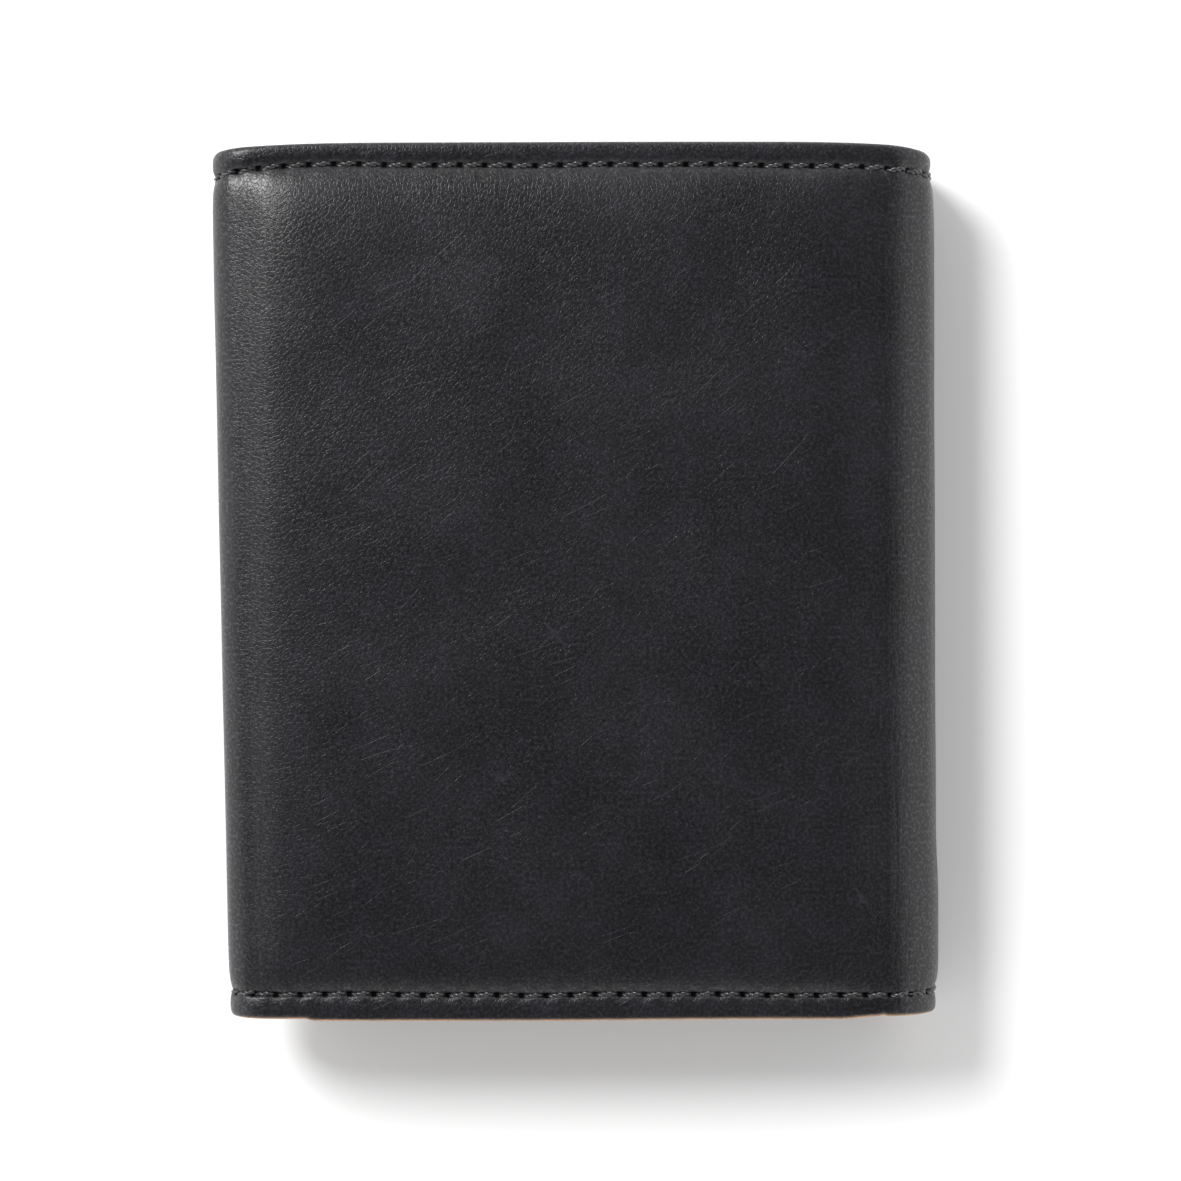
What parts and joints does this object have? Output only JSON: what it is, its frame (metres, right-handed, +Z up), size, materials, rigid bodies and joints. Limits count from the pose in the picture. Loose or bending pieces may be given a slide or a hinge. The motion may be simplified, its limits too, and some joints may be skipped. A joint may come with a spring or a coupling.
{
  "type": "trifold wallet",
  "caption": "Closed trifold leather wallet with stitched edges, a bill compartment, stepped card pockets and an identity window.",
  "frame": {"origin": "middle of the closed wallet's footprint, on the outer flap's outside face where it lies on a table", "axes": "+Z up through the closed wallet's thickness, +Y towards the bill compartment's mouth, +X towards the outer fold"},
  "size_m": [0.084, 0.102, 0.0163],
  "materials": {
    "shell_leather": "smooth, satin, fine pores",
    "pocket_leather": "smooth, satin",
    "lining_fabric": "fine plain weave",
    "seam_tape": "matte woven tape",
    "thread": "twisted two-ply thread",
    "clear_film": "clear, glossy"
  },
  "bodies": {
    "outer_flap": {"outer_flap_card_pocket_1": "pocket_leather", "outer_flap_card_pocket_2": "pocket_leather", "outer_flap_card_pocket_3": "pocket_leather", "outer_flap_divider": "pocket_leather", "outer_flap_lining": "lining_fabric", "outer_flap_pocket_seam_tape": "seam_tape", "outer_flap_pocket_stitches": "thread", "outer_flap_seam_stitches": "thread", "outer_flap_shell": "shell_leather"},
    "outer_fold": {"outer_fold_divider": "pocket_leather", "outer_fold_lining": "lining_fabric", "outer_fold_seam_stitches": "thread", "outer_fold_shell": "shell_leather"},
    "centre_panel": {"centre_card_pocket_1": "pocket_leather", "centre_card_pocket_2": "pocket_leather", "centre_card_pocket_3": "pocket_leather", "centre_divider": "pocket_leather", "centre_lining": "lining_fabric", "centre_pocket_seam_tape": "seam_tape", "centre_pocket_stitches": "thread", "centre_seam_stitches": "thread", "centre_shell": "shell_leather"},
    "inner_fold": {"inner_fold_divider": "pocket_leather", "inner_fold_lining": "lining_fabric", "inner_fold_seam_stitches": "thread", "inner_fold_shell": "shell_leather"},
    "inner_flap": {"inner_flap_divider": "pocket_leather", "inner_flap_id_frame": "pocket_leather", "inner_flap_id_window": "clear_film", "inner_flap_lining": "lining_fabric", "inner_flap_seam_stitches": "thread", "inner_flap_seam_tape": "seam_tape", "inner_flap_shell": "shell_leather"}
  },
  "joints": [
    {"name": "outer_fold_lower", "type": "hinge", "parent": "outer_flap", "child": "outer_fold", "pos_m": [0.04067, 0, 0.00133], "axis": [0, 1, 0], "range_deg": [0, 90]},
    {"name": "outer_fold_upper", "type": "hinge", "parent": "outer_fold", "child": "centre_panel", "pos_m": [0.04067, 0, 0.01497], "axis": [0, 1, 0], "range_deg": [0, 90]},
    {"name": "inner_fold_upper", "type": "hinge", "parent": "centre_panel", "child": "inner_fold", "pos_m": [-0.04105, 0, 0.01535], "axis": [0, 1, 0], "range_deg": [0, 27]},
    {"name": "inner_fold_lower", "type": "hinge", "parent": "inner_fold", "child": "inner_flap", "pos_m": [-0.04105, 0, 0.00705], "axis": [0, 1, 0], "range_deg": [0, 27]}
  ],
  "couplings": [
    {"joint": "outer_fold_upper", "follows": "outer_fold_lower", "ratio": 1},
    {"joint": "inner_fold_upper", "follows": "outer_fold_lower", "ratio": 0.3},
    {"joint": "inner_fold_lower", "follows": "outer_fold_lower", "ratio": 0.3}
  ]
}
